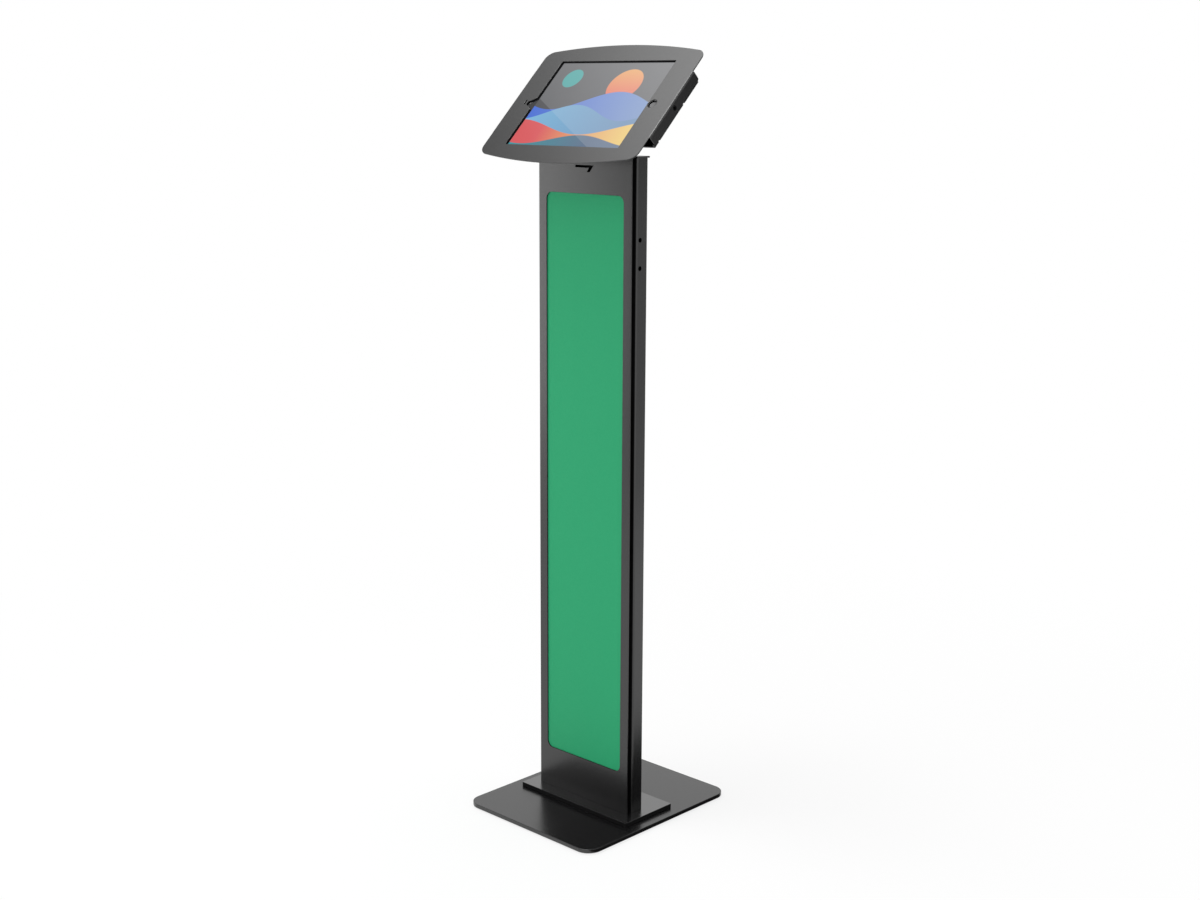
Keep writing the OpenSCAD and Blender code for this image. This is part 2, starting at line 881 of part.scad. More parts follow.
module face_frame()
    color(steel_black)
        on_head()
            difference() {
                union() {
                    difference() {
                        translate([0, 0, -face_t])
                            linear_extrude(face_t)
                                bowed_outline();
                        for (s = [-1, 1])
                            translate([s * (flange_u - fold_r + cut * 10), 0, 0])
                                cube([cut * 20, flange_l, 4 * face_t], center = true);
                    }
                    intersection() {
                        translate([0, flange_l / 2, 0])
                            rotate([90, 0, 0])
                                linear_extrude(flange_l)
                                    fold_section(flange_d);
                        rotate([90, 0, 90])
                            linear_extrude(2 * flange_u)
                                rounded_rect(flange_l, 2 * flange_d, flange_r);
                    }
                    translate([0, flange_l / 2, 0])
                        rotate([90, 0, 0])
                            linear_extrude(flange_l)
                                mirror([1, 0])
                                    fold_section(-hinge_flange_n);
                    knuckles(1) {
                        cylinder(r = knuckle_r, h = knuckle_l);
                        translate([-knuckle_r, hinge_n - hinge_flange_n - cut, 0])
                            cube([face_t, hinge_flange_n - hinge_n + cut, knuckle_l]);
                    }
                }
                translate([hinge_u, -flange_l / 2 - cut, hinge_n])
                    rotate([-90, 0, 0])
                        cylinder(r = pin_r + run_fit, h = flange_l + 2 * cut);
                translate([0, 0, -face_t - cut])
                    linear_extrude(face_t + 2 * cut) {
                        translate([screen_dx, 0])
                            rounded_rect(face_window_w, face_window_h, 1.5);
                        camera_notch(0);
                        translate([sensor_u, 0])
                            rounded_rect(sensor_w, sensor_l, sensor_w * 0.45);
                        translate([home_u, 0])
                            circle(d = home_hole_d);
                    }
                at_lock() {
                    bar_u(flange_in - cut, flange_u + cut, barrel_r + run_fit);
                    bar_u(flange_u - rim_t - run_fit, flange_u + cut, rim_r + run_fit);
                }
            }

module face_gasket()
    color(foam_grey)
        on_head()
            translate([0, 0, -face_t - gasket_t])
                linear_extrude(gasket_t)
                    difference() {
                        translate([screen_dx, 0])
                            rounded_rect(tablet_w - 2, tablet_h - 4, tablet_r);
                        translate([screen_dx, 0])
                            square([face_window_w + gasket_back, face_window_h + gasket_back], center = true);
                        camera_notch(gasket_back);
                        translate([home_u, 0])
                            circle(d = home_hole_d + 2 * gasket_back);
                        translate([sensor_u, 0])
                            square([3 * sensor_w, sensor_l + 2 * gasket_back], center = true);
                    }

// Lock

module lock_barrel()
    color(steel_bright)
        on_head()
            at_lock()
                difference() {
                    union() {
                        bar_u(barrel_u, flange_u, barrel_r);
                        bar_u(flange_u - rim_t, flange_u, rim_r);
                    }
                    bar_u(barrel_u - cut, flange_u + cut, plug_r + run_fit);
                }

module lock_nut()
    color(steel_bright)
        on_head()
            at_lock()
                difference() {
                    translate([flange_in - lock_nut_t, 0, 0])
                        rotate([0, 90, 0])
                            rotate(30)
                                cylinder(r = lock_nut_flat / sqrt(3), h = lock_nut_t, $fn = 6);
                    bar_u(flange_in - lock_nut_t - cut, flange_in + cut, barrel_r + run_fit);
                }

module lock_plug()
    color(steel_bright)
        on_head()
            at_lock()
                difference() {
                    union() {
                        bar_u(barrel_u, flange_u - plug_sink, plug_r);
                        bar_u(cam_u - 0.5, barrel_u + cut, tail_r);
                    }
                    translate([flange_u - plug_sink - 2, -0.7, -plug_r * 0.7])
                        cube([4, 1.4, plug_r * 1.4]);
                }

module lock_cam()
    color(steel_bright)
        on_head()
            at_lock()
                difference() {
                    union() {
                        bar_u(cam_u, cam_u + cam_t, hub_r);
                        translate([cam_u, -cam_w / 2, -cam_reach])
                            cube([cam_t, cam_w, cam_reach]);
                    }
                    bar_u(cam_u - cut, cam_u + cam_t + cut, tail_r + run_fit);
                }

module lock_catch()
    color(steel_bright)
        on_head() {
            translate([cam_u - 0.3, catch_v, catch_lip_n])
                cube([cam_t + 0.3, catch_out + catch_t - catch_v, catch_t]);
            translate([cam_u - 0.3, catch_out, housing_in])
                cube([cam_t + 0.3, catch_t, catch_lip_n + catch_t - housing_in]);
            translate([cam_u - 6, catch_out, housing_in])
                cube([cam_t + 6, catch_t + 10, catch_t]);
        }

base_plate();
floor_pads();
base_bolts();
foot_plate();
rear_channel();
rear_cover();
cover_screws();
outlet_grommet();
front_frame();
frame_nuts();
top_rail();
bottom_rail();
graphic_sheet();
backing_board();
head_bracket();
cap_screws();
vesa_screws();
cable_grommet();
rear_housing();
hinge_pin();
tablet_tray();
tray_screws();
foam_pads();
tablet_body();
tablet_glass();
home_button();
face_frame();
face_gasket();
lock_barrel();
lock_nut();
lock_plug();
lock_cam();
lock_catch();
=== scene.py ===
import json
import math

import bmesh
import bpy
from mathutils import Matrix, Vector


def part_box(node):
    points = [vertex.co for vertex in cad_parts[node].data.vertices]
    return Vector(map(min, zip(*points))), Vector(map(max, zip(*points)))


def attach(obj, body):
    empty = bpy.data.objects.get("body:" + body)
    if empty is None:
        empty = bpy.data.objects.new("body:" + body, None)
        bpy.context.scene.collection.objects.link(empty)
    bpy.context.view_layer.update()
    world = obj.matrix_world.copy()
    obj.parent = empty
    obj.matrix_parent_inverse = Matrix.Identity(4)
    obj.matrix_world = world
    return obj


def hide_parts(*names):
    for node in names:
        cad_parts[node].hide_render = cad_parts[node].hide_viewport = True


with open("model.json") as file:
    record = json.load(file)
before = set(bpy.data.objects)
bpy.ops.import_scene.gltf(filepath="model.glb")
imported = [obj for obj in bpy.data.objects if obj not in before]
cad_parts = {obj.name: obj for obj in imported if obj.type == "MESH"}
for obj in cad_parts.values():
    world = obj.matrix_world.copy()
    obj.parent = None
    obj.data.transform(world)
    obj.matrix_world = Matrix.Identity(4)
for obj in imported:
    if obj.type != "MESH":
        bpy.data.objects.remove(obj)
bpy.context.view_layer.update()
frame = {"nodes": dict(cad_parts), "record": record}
nodes = frame["nodes"]

# The tablet face leans back. Places on it are (u, v, n): to its right, up along it and out of its front.
TILT = math.radians(45)
FACE_MID = Vector((0.0, -0.0231, 1.0126))
FACE_TO_ROOM = Matrix.Translation(FACE_MID) @ Matrix.Rotation(TILT, 4, "X")
FOLD_U = 0.147                           # about where the flat front ends and the sides fold back
HOME_SPOT = Vector((0.114, 0.0, 0.0))    # middle of the home-button opening
HOME_RADIUS = 0.00625
BUTTON_N = -0.0045                       # back of the home button
CAMERA_U, SENSOR_U = -0.1153, -0.1245
SHADE_SEAL_N = -0.0021                         # middle of the dark seal behind the sensor slot, painted shade for the slot
GLASS_N = -0.0023                        # front of the tablet's glass
TABLET_U = -0.0005                       # middle of the tablet
SCREEN_MID = FACE_TO_ROOM @ Vector((TABLET_U, 0.0, GLASS_N))
FOAM_U, FOAM_V = 0.077686, 0.059194      # from the tablet's middle to the middles of its foam pads
FOAM_N = -0.0103
VESA_U = VESA_V = 0.05
VESA_N = -0.0228                         # back of the bracket's plate, under the screw heads

# The column and the base
CHANNEL_FRONT, CHANNEL_BACK = (corner[1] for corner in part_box("rear_channel"))
CHANNEL_MID = (CHANNEL_FRONT + CHANNEL_BACK) / 2
FRAME_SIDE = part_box("front_frame")[1][0]
CAP_TOP = 0.944                          # top of the bracket's plate on the column
COLUMN_TOP_UNDER = 0.9385                # underside of the sheet that this plate lies on
CAP_SCREW_X = 0.072
COVER_THICK = 0.002
COVER_SCREW_X = 0.078
COVER_SCREW_HEIGHTS = (0.0535, 0.4775, 0.9015)
OUTLET_HEIGHT = 0.0585
BASE_UNDER = 0.0015
BOLT_X = 0.075
BOLT_DEPTHS = (-0.0355, 0.0245)
PAD_X, PAD_Y = 0.099, 0.122


# Shader building

def new_material(name):
    mat = bpy.data.materials.new(name)
    mat.use_nodes = True
    tree = mat.node_tree
    return mat, tree, tree.nodes["Principled BSDF"]


def add(tree, kind, **values):
    node = tree.nodes.new(kind)
    for key, value in values.items():
        setattr(node, key, value)
    return node


def place(tree):
    return add(tree, "ShaderNodeTexCoord").outputs["Object"]


def mapped(tree, kind, **values):
    """Object coordinates after a mapping: POINT stretches them, TEXTURE counts them from a turned middle."""
    mapping = add(tree, "ShaderNodeMapping", vector_type=kind)
    for key, value in values.items():
        mapping.inputs[key].default_value = value
    tree.links.new(place(tree), mapping.inputs["Vector"])
    return mapping.outputs["Vector"]


def grain(tree, scale, detail=2.0, rough=0.5, where=None):
    noise = add(tree, "ShaderNodeTexNoise")
    noise.inputs["Scale"].default_value = scale
    noise.inputs["Detail"].default_value = detail
    noise.inputs["Roughness"].default_value = rough
    tree.links.new(where or place(tree), noise.inputs["Vector"])
    return noise.outputs["Fac"]


def between(tree, fac, low, high):
    span = add(tree, "ShaderNodeMapRange")
    span.inputs["To Min"].default_value = low
    span.inputs["To Max"].default_value = high
    tree.links.new(fac, span.inputs["Value"])
    return span.outputs["Result"]


def tint(tree, fac, dark, light, low=0.3, high=0.7):
    ramp = add(tree, "ShaderNodeValToRGB")
    ramp.color_ramp.elements[0].position = low
    ramp.color_ramp.elements[0].color = (*dark, 1)
    ramp.color_ramp.elements[1].position = high
    ramp.color_ramp.elements[1].color = (*light, 1)
    tree.links.new(fac, ramp.inputs["Fac"])
    return ramp.outputs["Color"]


def skin(tree, shader, colour, rough):
    """Links a colour and a roughness to the shader."""
    tree.links.new(colour, shader.inputs["Base Color"])
    tree.links.new(rough, shader.inputs["Roughness"])


def bump(tree, shader, height, depth, strength):
    node = add(tree, "ShaderNodeBump")
    node.inputs["Distance"].default_value = depth
    node.inputs["Strength"].default_value = strength
    tree.links.new(height, node.inputs["Height"])
    tree.links.new(node.outputs["Normal"], shader.inputs["Normal"])


def powder_coat(name, dark, light, rough, gloss, peel, index=1.5):
    """Satin powder coat: near black, with a fine pebbled skin and slightly uneven sheen."""
    mat, tree, shader = new_material(name)
    cloud = grain(tree, 9.0, 3.0)
    sheen = grain(tree, 260.0, 3.0, 0.6)
    skin(tree, shader, tint(tree, cloud, dark, light), between(tree, sheen, rough - 0.05, rough + 0.05))
    shader.inputs["Specular IOR Level"].default_value = gloss
    shader.inputs["IOR"].default_value = index
    bump(tree, shader, grain(tree, 900.0, 2.0, 0.55), 0.0002, peel)
    return mat


def plated_steel(name, dark, light, rough):
    mat, tree, shader = new_material(name)
    cloud = grain(tree, 420.0, 4.0, 0.6)
    brushed = grain(tree, 300.0, 3.0, 0.6, mapped(tree, "POINT", Scale=(1, 14, 14)))
    skin(tree, shader, tint(tree, cloud, dark, light), between(tree, brushed, rough - 0.07, rough + 0.1))
    shader.inputs["Metallic"].default_value = 1.0
    bump(tree, shader, brushed, 0.00005, 0.2)
    return mat


def soft_rubber(name, dark, light, rough, cell, depth):
    mat, tree, shader = new_material(name)
    cloud = grain(tree, cell * 0.3, 3.0)
    pores = grain(tree, cell, 3.0, 0.65)
    skin(tree, shader, tint(tree, cloud, dark, light), between(tree, pores, rough - 0.08, rough + 0.08))
    shader.inputs["Specular IOR Level"].default_value = 0.18
    bump(tree, shader, pores, depth, 0.5)
    return mat


def printed_green(name):
    """Satin print on a plastic sheet: even colour with a faint press mottle."""
    mat, tree, shader = new_material(name)
    mottle = grain(tree, 700.0, 2.0, 0.6)
    sheen = grain(tree, 60.0, 3.0)
    green = tint(tree, mottle, (0.021, 0.330, 0.143), (0.026, 0.352, 0.154))
    skin(tree, shader, green, between(tree, sheen, 0.42, 0.52))
    shader.inputs["Specular IOR Level"].default_value = 0.12
    bump(tree, shader, grain(tree, 1500.0, 2.0), 0.00005, 0.15)
    return mat


def foam_board(name):
    mat, tree, shader = new_material(name)
    fibre = grain(tree, 900.0, 4.0, 0.6)
    black = tint(tree, fibre, (0.018, 0.018, 0.019), (0.030, 0.030, 0.032))
    skin(tree, shader, black, between(tree, fibre, 0.62, 0.78))
    bump(tree, shader, fibre, 0.0001, 0.3)
    return mat


def blasted_shell(name):
    mat, tree, shader = new_material(name)
    pits = grain(tree, 2600.0, 2.0, 0.6)
    silver = tint(tree, pits, (0.50, 0.51, 0.53), (0.58, 0.59, 0.61))
    skin(tree, shader, silver, between(tree, pits, 0.36, 0.48))
    shader.inputs["Metallic"].default_value = 1.0
    bump(tree, shader, pits, 0.00003, 0.3)
    return mat


def gloss_black(name):
    mat, tree, shader = new_material(name)
    smudge = grain(tree, 90.0, 4.0, 0.6)
    black = tint(tree, smudge, (0.040, 0.040, 0.042), (0.052, 0.052, 0.055))
    skin(tree, shader, black, between(tree, smudge, 0.16, 0.26))
    return mat


def math_node(tree, operation, a, b=None):
    node = add(tree, "ShaderNodeMath", operation=operation)
    for slot, value in enumerate((a, b)):
        if value is None:
            continue
        if isinstance(value, (int, float)):
            node.inputs[slot].default_value = value
        else:
            tree.links.new(value, node.inputs[slot])
    return node.outputs["Value"]


def over(tree, under, top, mask):
    """Lays one colour over another where the mask is 1."""
    mix = add(tree, "ShaderNodeMix", data_type="RGBA")
    tree.links.new(mask, mix.inputs["Factor"])
    for socket, value in (("A", under), ("B", top)):
        target = [s for s in mix.inputs if s.name == socket and s.type == "RGBA"][0]
        if isinstance(value, tuple):
            target.default_value = (*value, 1)
        else:
            tree.links.new(value, target)
    return [s for s in mix.outputs if s.type == "RGBA"][0]


def soft_step(tree, value, edge, width):
    ramp = add(tree, "ShaderNodeMapRange", interpolation_type="SMOOTHSTEP")
    ramp.inputs["From Min"].default_value = edge - width
    ramp.inputs["From Max"].default_value = edge + width
    tree.links.new(value, ramp.inputs["Value"])
    return ramp.outputs["Result"]


def lit_screen(name):
    """Glossy black glass over a lit panel that shows layered dunes under two discs, with a painted glare
    over one side of the picture.
    """
    half_width, half_height = 0.1037, 0.0777
    disc_blur, dune_blur = 0.0008, 0.0006
    mat, tree, shader = new_material(name)
    spot = mapped(tree, "TEXTURE", Location=SCREEN_MID, Rotation=(TILT, 0, 0))
    split = add(tree, "ShaderNodeSeparateXYZ")
    tree.links.new(spot, split.inputs["Vector"])
    u, v = split.outputs["X"], split.outputs["Y"]

    def calc(operation, a, b=None):
        return math_node(tree, operation, a, b)

    def disc(mid_u, mid_v, radius):
        du, dv = calc("SUBTRACT", u, mid_u), calc("SUBTRACT", v, mid_v)
        away = calc("SQRT", calc("ADD", calc("MULTIPLY", du, du), calc("MULTIPLY", dv, dv)))
        return calc("SUBTRACT", 1.0, soft_step(tree, away, radius, disc_blur))

    def dune(level, swing, length, phase):
        angle = calc("ADD", calc("MULTIPLY", u, 2 * math.pi / length), phase)
        crest = calc("ADD", calc("MULTIPLY", calc("SINE", angle), swing), level)
        return calc("SUBTRACT", 1.0, soft_step(tree, calc("SUBTRACT", v, crest), 0.0, dune_blur))

    def fade(along, low, high, first, second):
        share = calc("DIVIDE", calc("SUBTRACT", along, low), high - low)
        return tint(tree, share, first, second, 0.0, 1.0)

    picture = fade(v, -0.02, 0.08, (0.055, 0.056, 0.062), (0.075, 0.075, 0.080))
    teal = (0.00, 0.42, 0.40)
    picture = over(tree, picture, teal, disc(-0.066, 0.048, 0.017))
    orange = fade(v, 0.005, 0.065, (0.90, 0.08, 0.06), (0.95, 0.42, 0.07))
    picture = over(tree, picture, orange, disc(0.040, 0.036, 0.029))
    blue = fade(u, -0.10, 0.10, (0.035, 0.16, 0.80), (0.16, 0.30, 0.62))
    picture = over(tree, picture, blue, dune(0.006, 0.017, 0.23, 0.4))
    light_blue = fade(u, -0.11, 0.09, (0.22, 0.56, 0.86), (0.10, 0.26, 0.50))
    picture = over(tree, picture, light_blue, dune(-0.016, 0.014, 0.19, 2.3))
    sand = fade(u, -0.06, 0.10, (0.85, 0.09, 0.10), (1.00, 0.66, 0.10))
    picture = over(tree, picture, sand, dune(-0.043, 0.013, 0.25, 4.4))
    sea = fade(u, -0.10, 0.04, (0.02, 0.34, 0.40), (0.05, 0.12, 0.24))
    picture = over(tree, picture, sea, dune(-0.066, 0.009, 0.21, 0.9))

    # A pale painted glare lies over the picture on one side of a slanted line: a painted reflection mixed
    # into the screen's glow.
    slant_u, slant_v, painted_glare_edge, painted_glare_share = 0.498, 0.867, -0.0437, 0.10
    painted_glare_colour = (0.90, 0.92, 0.95)
    lean = calc("ADD", calc("MULTIPLY", u, slant_u), calc("MULTIPLY", v, slant_v))
    painted_glare = calc("MULTIPLY", soft_step(tree, lean, painted_glare_edge, dune_blur), painted_glare_share)
    picture = over(tree, picture, painted_glare_colour, painted_glare)

    inside_u = calc("LESS_THAN", calc("ABSOLUTE", u), half_width)
    inside_v = calc("LESS_THAN", calc("ABSOLUTE", v), half_height)
    lit = calc("MULTIPLY", inside_u, inside_v)
    tree.links.new(over(tree, (0.0, 0.0, 0.0), picture, lit), shader.inputs["Emission Color"])
    shader.inputs["Emission Strength"].default_value = 0.75
    smudge = grain(tree, 45.0, 4.0, 0.6)
    black = tint(tree, smudge, (0.006, 0.006, 0.007), (0.010, 0.010, 0.011))
    skin(tree, shader, black, between(tree, smudge, 0.05, 0.11))
    shader.inputs["IOR"].default_value = 1.5
    return mat


SOOT = (0.002, 0.002, 0.0022), (0.004, 0.004, 0.0043)
COAT = powder_coat("satin_black_coat", *SOOT, rough=0.25, gloss=0.80, peel=0.03)
FACE_COAT = powder_coat("satin_face_coat", (0.004, 0.004, 0.0043), (0.007, 0.007, 0.0074),
                        rough=0.30, gloss=0.70, peel=0.04)
RAIL_COAT = powder_coat("matte_rail_coat", *SOOT, rough=0.60, gloss=0.15, peel=0.06)
FOOT_COAT = powder_coat("glossy_foot_coat", *SOOT, rough=0.25, gloss=1.0, peel=0.03, index=1.8)
ZINC = plated_steel("zinc_plate", (0.50, 0.51, 0.52), (0.66, 0.67, 0.68), rough=0.32)
LOCK_STEEL = plated_steel("black_nickel", (0.014, 0.014, 0.015), (0.028, 0.028, 0.030), rough=0.30)
RUBBER = soft_rubber("black_rubber", (0.006, 0.006, 0.006), (0.012, 0.012, 0.012),
                     rough=0.68, cell=700.0, depth=0.0001)
FOAM = soft_rubber("grey_foam", (0.045, 0.045, 0.048), (0.085, 0.085, 0.088),
                   rough=0.9, cell=1800.0, depth=0.0003)
GREEN = printed_green("printed_green")
BOARD = foam_board("black_board")
SHELL = blasted_shell("tablet_shell")
SCREEN = lit_screen("lit_screen")
GLOSS = gloss_black("button_gloss")

FINISH = {
    "powder_black": COAT,
    "frame_black": FACE_COAT,
    "zinc": ZINC,
    "lock_steel": LOCK_STEEL,
    "rubber_black": RUBBER,
    "foam_grey": FOAM,
    "print_green": GREEN,
    "board_black": BOARD,
    "tablet_shell": SHELL,
    "screen_glass": SCREEN,
    "button_black": GLOSS,
}
body_of = {name: body for body, held in frame["record"]["behaviour"]["bodies"].items() for name in held}
slot_of = {part["node"]: part["material_slot"] for part in frame["record"]["subparts"]}
for part_name, part_slot in slot_of.items():
    part_mesh = nodes[part_name].data
    part_mesh.materials.clear()
    part_mesh.materials.append(RAIL_COAT if part_name.endswith("_rail") else FINISH[part_slot])


# Shaping

CAD_WELD = 0.00006
WELD = 1e-7


def on_axis(spot, aim):
    """Places a shape turned about Z at a spot, with its top towards aim."""
    return Matrix.Translation(spot) @ Vector(aim).to_track_quat("Z", "Y").to_matrix().to_4x4()


def on_face(u, v, n, aim=(0, 0, 1)):
    return FACE_TO_ROOM @ on_axis((u, v, n), aim)


def both(*sizes):
    """Every sign of one or two sizes."""
    if len(sizes) == 1:
        return [-sizes[0], sizes[0]]
    return [(a, b) for a in both(sizes[0]) for b in both(sizes[1])]


def turned(bm, profile, closed=False, steps=40):
    """Spins (radius, height) points about Z. A closed profile makes a ring."""
    points = [bm.verts.new((r, 0, z)) for r, z in profile]
    ends = points[1:] + points[:1] if closed else points[1:]
    edges = [bm.edges.new(pair) for pair in zip(points, ends)]
    bmesh.ops.spin(bm, geom=points + edges, cent=(0, 0, 0), axis=(0, 0, 1),
                   angle=2 * math.pi, steps=steps, use_merge=True)


def copies(shape, places):
    """One bmesh with the shape drawn at each place."""
    bm = bmesh.new()
    for spot in places:
        one = bmesh.new()
        shape(one)
        bmesh.ops.remove_doubles(one, verts=one.verts, dist=WELD)
        bmesh.ops.transform(one, matrix=spot, verts=one.verts)
        loose = bpy.data.meshes.new("loose")
        one.to_mesh(loose)
        one.free()
        bm.from_mesh(loose)
        bpy.data.meshes.remove(loose)
    return bm


def piece(name, bm, like, *stands_for):
    """A named piece that rides with a CAD node, takes its finish and may stand for it."""
    bmesh.ops.recalc_face_normals(bm, faces=bm.faces)
    mesh = bpy.data.meshes.new(name)
    bm.to_mesh(mesh)
    bm.free()
    mesh.materials.append(FINISH[slot_of[like]])
    mesh.shade_smooth()
    mesh.set_sharp_from_angle(angle=math.radians(40))
    obj = bpy.data.objects.new(name, mesh)
    bpy.context.scene.collection.objects.link(obj)
    level = obj.modifiers.new("flat_faces", "WEIGHTED_NORMAL")
    level.keep_sharp = True
    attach(obj, body_of[like])
    if stands_for:
        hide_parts(*stands_for)
    return obj


def rims(edges):
    """Splits edges into groups that touch, one for each rim."""
    left, groups = dict.fromkeys(edges), []
    while left:
        group, todo = [], [left.popitem()[0]]
        while todo:
            edge = todo.pop()
            group.append(edge)
            near = [e for v in edge.verts for e in v.link_edges if e in left]
            for e in near:
                del left[e]
            todo += near
        groups.append(group)
    return groups


def break_edges(bm, edges, width, segments):
    """Rounds each rim on its own, so that a tight one keeps none of the others from its width."""
    for rim in rims(edges):
        bmesh.ops.bevel(bm, geom=rim, offset=width, offset_type="OFFSET", segments=segments, profile=0.5,
                        affect="EDGES", clamp_overlap=True, material=-1)


def flatten(bm):
    """Joins the faces that lie in one plane."""
    bmesh.ops.dissolve_limit(bm, angle_limit=math.radians(0.5), verts=bm.verts, edges=bm.edges)


def eased(name, width, segments=2, split=False, where=None, dished=None):
    """The same shape with its sharp edges broken, as sheet steel has under its coat.
    Faces with many holes are split first. The edges that dished picks get a chamfer of its width."""
    bm = bmesh.new()
    bm.from_mesh(nodes[name].data)
    bm.transform(nodes[name].matrix_world)
    bmesh.ops.remove_doubles(bm, verts=bm.verts, dist=CAD_WELD)
    flatten(bm)
    if split:
        bmesh.ops.triangulate(bm, faces=bm.faces, quad_method="BEAUTY", ngon_method="BEAUTY")
    if dished:
        picks, chamfer = dished
        break_edges(bm, [e for e in bm.edges if picks(e)], chamfer, 1)
    sharp = [e for e in bm.edges if e.is_manifold and e.calc_face_angle(0.0) > math.radians(30)]
    break_edges(bm, [e for e in sharp if where is None or where(e)], width, segments)
    if split:
        flatten(bm)
    return piece(name + "_eased", bm, name, name)


def on_plate(edge):
    """The ends of an edge, counted from the middle of the face."""
    return [FACE_TO_ROOM.inverted() @ v.co for v in edge.verts]


def round_home(edge):
    """True on the front rim of the home-button opening."""
    slack = 0.00005
    return all(abs((end - HOME_SPOT).length - HOME_RADIUS) < slack for end in on_plate(edge))


def plate_front(edge):
    """True on the front rims of the face, short of its two folds."""
    depth, margin = 0.0002, 0.003
    return all(end.z > -depth and abs(end.x) < FOLD_U - margin for end in on_plate(edge))


def matte(obj, picks):
    """Gives the faces that picks chooses the matte coat of the rails."""
    obj.data.materials.append(RAIL_COAT)
    for face in obj.data.polygons:
        if picks(face):
            face.material_index = 1


def button_head(length, shank, head, rim, rise, crown=0.35, steps=5):
    """Profile of a screw from its tip to the flat of its domed head. The dome starts at the rim's height."""
    arc = [math.pi / 2 * i / steps for i in range(steps + 1)]
    dome = [(head * (1 - crown * (1 - math.cos(a))), rim + rise * math.sin(a)) for a in arc]
    return [(0, -length), (shank, -length), (shank, 0.0), (head, 0.0)] + dome


def screws(name, like, profile, across, deep, places):
    """Turned screws with a hexagon socket and a pin in it, in the flat where the profile ends."""
    pin_gap, pin_height = across * 0.3, deep * 0.7

    def shape(bm):
        turned(bm, profile)
        bmesh.ops.remove_doubles(bm, verts=bm.verts, dist=WELD)
        rim = [e for e in bm.edges if e.is_boundary]
        corners = bmesh.ops.create_circle(bm, segments=6, radius=across / math.sqrt(3))["verts"]
        bmesh.ops.translate(bm, vec=(0, 0, profile[-1][1]), verts=corners)
        hexagon = list({e for v in corners for e in v.link_edges})
        bmesh.ops.bridge_loops(bm, edges=rim + hexagon)
        walls = bmesh.ops.extrude_edge_only(bm, edges=hexagon)["geom"]
        floor = [g for g in walls if isinstance(g, bmesh.types.BMVert)]
        bmesh.ops.translate(bm, vec=(0, 0, -deep), verts=floor)
        low = [g for g in walls if isinstance(g, bmesh.types.BMEdge) and all(v in floor for v in g.verts)]
        flat = bmesh.ops.edgeloop_fill(bm, edges=low)["faces"]
        bmesh.ops.inset_region(bm, faces=flat, thickness=pin_gap)
        pin = bmesh.ops.extrude_discrete_faces(bm, faces=flat)["faces"]
        bmesh.ops.translate(bm, vec=(0, 0, pin_height), verts=list({v for f in pin for v in f.verts}))

    piece(name, copies(shape, places), like, like)


def grommet(thick):
    """Profile of a rubber grommet: a bore and two rounded lips either side of a sheet."""
    lip, bore, wall, out, ease, chamfer = 0.0014, 0.005, 0.0066, 0.008, 0.0006, 0.0003
    top, bend = thick + lip, ease * 0.3
    half = [(bore, thick / 2), (bore, top - ease), (bore + bend, top - bend), (bore + ease, top),
            (out - ease, top), (out - bend, top - bend), (out, top - ease), (out, thick + chamfer),
            (out - chamfer, thick), (wall, thick)]
    return half + [(r, thick - z) for r, z in reversed(half)]


def soft_pad(length, width, thick, corner):
    """A die-cut pad with round corners and soft edges."""
    def shape(bm):
        bmesh.ops.create_cube(bm, size=1.0, matrix=Matrix.Diagonal((length, width, thick, 1)))
        upright = [e for e in bm.edges if abs(e.verts[0].co.z - e.verts[1].co.z) > thick / 2]
        break_edges(bm, upright, corner, 6)
        outline = [e for e in bm.edges if e.calc_face_angle(0.0) > math.radians(60)]
        break_edges(bm, outline, thick * 0.42, 4)
    return shape


# Pieces

eased("base_plate", 0.0007)
eased("rear_cover", 0.0004)
eased("head_bracket", 0.0005)
eased("tablet_tray", 0.0003)
eased("lock_barrel", 0.0002)
eased("lock_plug", 0.00015)
eased("rear_housing", 0.0004, split=True)
eased("face_frame", 0.0004, split=True, where=plate_front, dished=(round_home, 0.0013))

# The foot plate has a glossier top and matte edges.
foot = eased("foot_plate", 0.0003)
foot.data.materials[0] = FOOT_COAT
matte(foot, lambda face: abs(face.normal.z) < 0.5)

# The front of the channel's web is matte, and so are the front sheet's cut edges, apart from its two sides.
WEB_SLACK, SIDE_MARGIN = 0.0005, 0.001
matte(eased("rear_channel", 0.0004), lambda face: face.center.y < CHANNEL_FRONT + WEB_SLACK)
matte(eased("front_frame", 0.0002),
      lambda face: abs(face.normal.y) < 0.5 and abs(face.center.x) < FRAME_SIDE - SIDE_MARGIN)

screws("cover_screws_socketed", "cover_screws", across=0.0025, deep=0.001,
       profile=button_head(length=0.006, shank=0.0015, head=0.0036, rim=0.0001, rise=0.0014, crown=0.3),
       places=[on_axis((x, CHANNEL_BACK, z), (0, 1, 0))
               for x in both(COVER_SCREW_X) for z in COVER_SCREW_HEIGHTS])
screws("cap_screws_socketed", "cap_screws", across=0.003, deep=0.0017,
       profile=button_head(length=0.0065, shank=0.0025, head=0.0042, rim=0.0004, rise=0.0023),
       places=[on_axis((x, CHANNEL_MID, CAP_TOP), (0, 0, 1)) for x in both(CAP_SCREW_X)])
screws("vesa_screws_socketed", "vesa_screws", across=0.0025, deep=0.0015,
       profile=button_head(length=0.006, shank=0.002, head=0.0036, rim=0.0004, rise=0.0021),
       places=[on_face(u, v, VESA_N, (0, 0, -1)) for u, v in both(VESA_U, VESA_V)])
countersunk = [(0, -0.0108), (0.004, -0.0108), (0.004, -0.004), (0.0078, -0.0002), (0.0076, 0.0)]
screws("base_bolts_socketed", "base_bolts", across=0.005, deep=0.0028, profile=countersunk,
       places=[on_axis((x, y, BASE_UNDER), (0, 0, -1)) for x in both(BOLT_X) for y in BOLT_DEPTHS])

